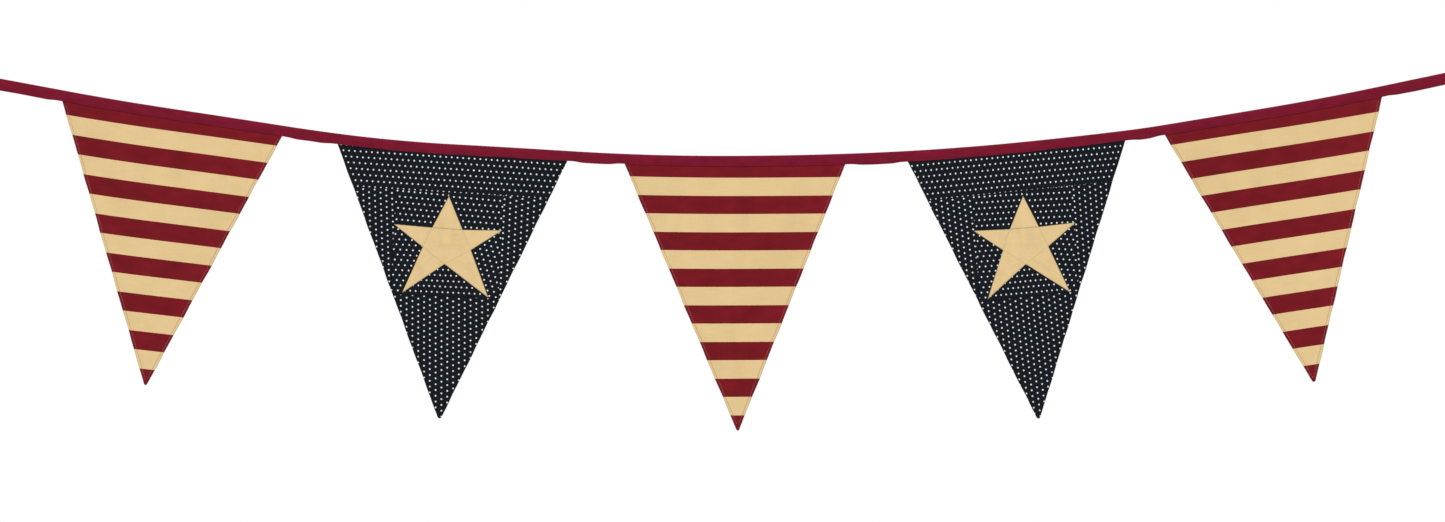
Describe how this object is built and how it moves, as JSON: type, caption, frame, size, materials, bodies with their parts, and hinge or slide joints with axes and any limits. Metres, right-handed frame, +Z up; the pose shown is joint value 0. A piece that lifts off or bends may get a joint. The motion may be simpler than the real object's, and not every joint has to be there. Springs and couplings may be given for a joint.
{
  "type": "pennant bunting",
  "caption": "Bunting of triangular cloth pennants hung from a folded tape in a shallow swag, striped ones alternating with dotted ones that hold a pieced star.",
  "frame": {"origin": "on the tape's top edge, at the middle of the middle pennant", "axes": "+X along the bunting to the viewer's right, +Z up, and the fronts of the pennants face -Y"},
  "size_m": [1.818, 0.0095, 0.4286],
  "materials": {
    "tape_cloth": "matt plain-woven cotton, folded and pressed",
    "striped_cloth": "matt plain-woven cotton with burgundy and tan stripes",
    "dotted_cloth": "matt plain-woven cotton, black-navy with small white pin dots",
    "star_cloth": "matt plain-woven cotton, warm tan"
  },
  "bodies": {
    "root": {"binding_tape": "tape_cloth", "pennant_1_striped": "striped_cloth", "pennant_2_dotted": "dotted_cloth", "pennant_3_striped": "striped_cloth", "pennant_4_dotted": "dotted_cloth", "pennant_5_striped": "striped_cloth", "star_2": "star_cloth", "star_4": "star_cloth"}
  },
  "joints": []
}
